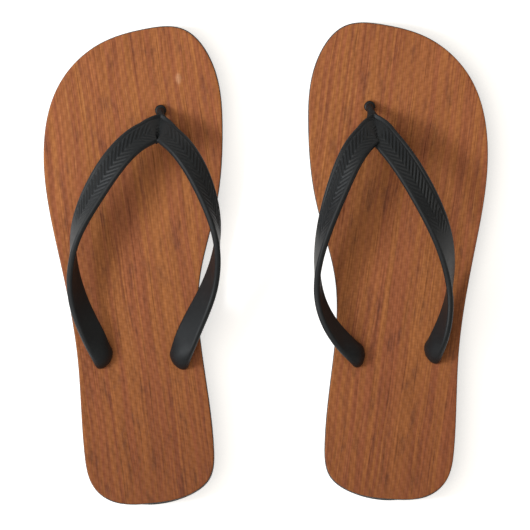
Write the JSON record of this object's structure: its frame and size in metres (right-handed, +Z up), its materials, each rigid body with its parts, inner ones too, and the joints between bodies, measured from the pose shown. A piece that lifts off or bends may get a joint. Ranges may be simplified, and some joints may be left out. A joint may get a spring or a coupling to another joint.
{
  "type": "pair of thong slippers",
  "caption": "Pair of flat spa slippers: printed textured footbed on a layered rubber sole, with a V-shaped rubber thong strap held by plugs through the sole.",
  "frame": {"origin": "centre of the pair's footprint, on the floor", "axes": "+Z up; +Y towards the toes; +X towards the right slipper"},
  "size_m": [0.2504, 0.2723, 0.0487],
  "materials": {
    "printed_footbed": "bamboo-wood print on a finely embossed rubber sheet, matte",
    "foam": "closed-cell foam rubber, fine grain, matte",
    "outsole_rubber": "moulded rubber with a zigzag tread, matte",
    "strap_rubber": "moulded soft rubber, satin, with herringbone ribs",
    "washer": "moulded nylon, matte"
  },
  "bodies": {
    "left": {"left_footbed_cover": "printed_footbed", "left_midsole": "foam", "left_outsole": "outsole_rubber", "left_strap": "strap_rubber", "left_toe_washer": "washer", "left_inner_washer": "washer", "left_outer_washer": "washer"},
    "right": {"right_footbed_cover": "printed_footbed", "right_midsole": "foam", "right_outsole": "outsole_rubber", "right_strap": "strap_rubber", "right_toe_washer": "washer", "right_inner_washer": "washer", "right_outer_washer": "washer"}
  },
  "joints": [
    {"name": "right_slipper_lift", "type": "slide", "parent": "left", "child": "right", "axis": [0, 0, 1], "range_m": [0, 0.25]}
  ]
}
